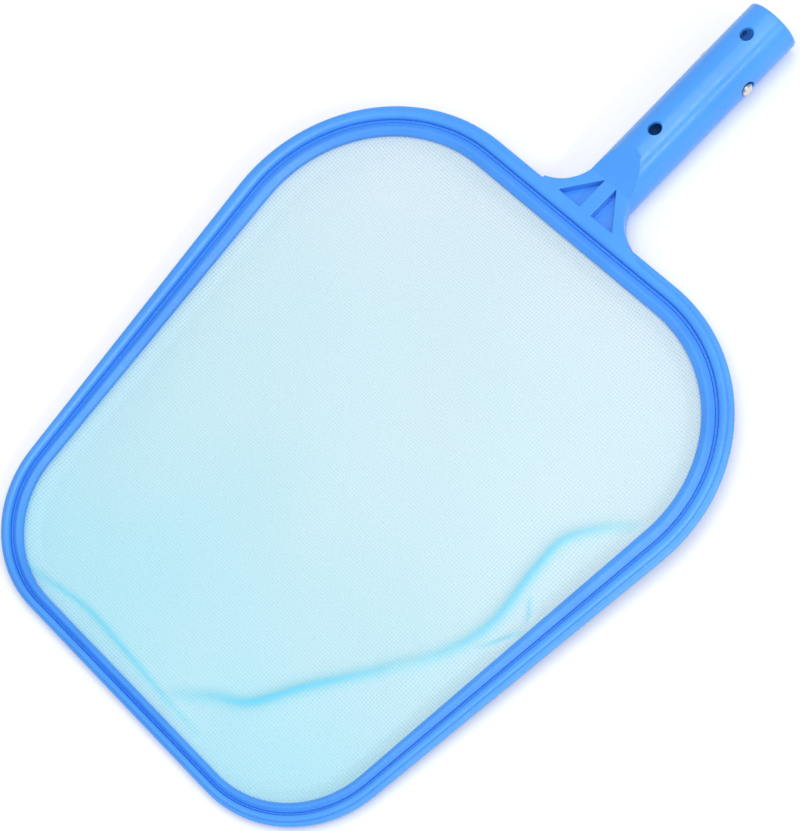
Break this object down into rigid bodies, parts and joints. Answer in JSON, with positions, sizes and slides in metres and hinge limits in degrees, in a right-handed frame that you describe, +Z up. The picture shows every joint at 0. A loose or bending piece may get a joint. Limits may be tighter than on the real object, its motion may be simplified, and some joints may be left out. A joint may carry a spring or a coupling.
{
  "type": "leaf skimmer net",
  "caption": "Flat leaf skimmer head: a rounded trapezoid frame with a fine clamped net and a tubular handle that locks in a pole with sprung buttons.",
  "frame": {"origin": "middle of the bounding box in X and Y, at the level of its base, which is the underside of the tubular handle", "axes": "+Y along the handle's axis towards its open mouth, +Z up off the net's open face, +X to the side; the head lies in the XY plane"},
  "size_m": [0.2988, 0.45, 0.0287],
  "materials": {
    "frame_plastic": "satin injection moulded blue plastic",
    "ring_plastic": "satin injection moulded blue plastic",
    "net_mesh": "fine pale blue woven nylon net",
    "net_border": "folded and clamped edge of the net",
    "spring_steel": "stainless spring strip",
    "button_metal": "nickel plated"
  },
  "bodies": {
    "head": {"frame": "frame_plastic", "gusset": "frame_plastic", "handle": "frame_plastic", "retaining_ring": "ring_plastic", "net": "net_mesh", "net_border": "net_border", "clip_bend": "spring_steel"},
    "left_catch": {"clip_arm_left": "spring_steel", "button_left": "button_metal"},
    "right_catch": {"clip_arm_right": "spring_steel", "button_right": "button_metal"}
  },
  "joints": [
    {"name": "left_button_press", "type": "hinge", "parent": "head", "child": "left_catch", "pos_m": [-0.003, 0.154, 0.01435], "axis": [0, 0, -1], "range_deg": [0, 5.5], "stiffness_Nm_per_rad": 0.6, "springref_deg": -2.86},
    {"name": "right_button_press", "type": "hinge", "parent": "head", "child": "right_catch", "pos_m": [0.003, 0.154, 0.01435], "axis": [0, 0, 1], "range_deg": [0, 5.5], "stiffness_Nm_per_rad": 0.6, "springref_deg": -2.86}
  ]
}
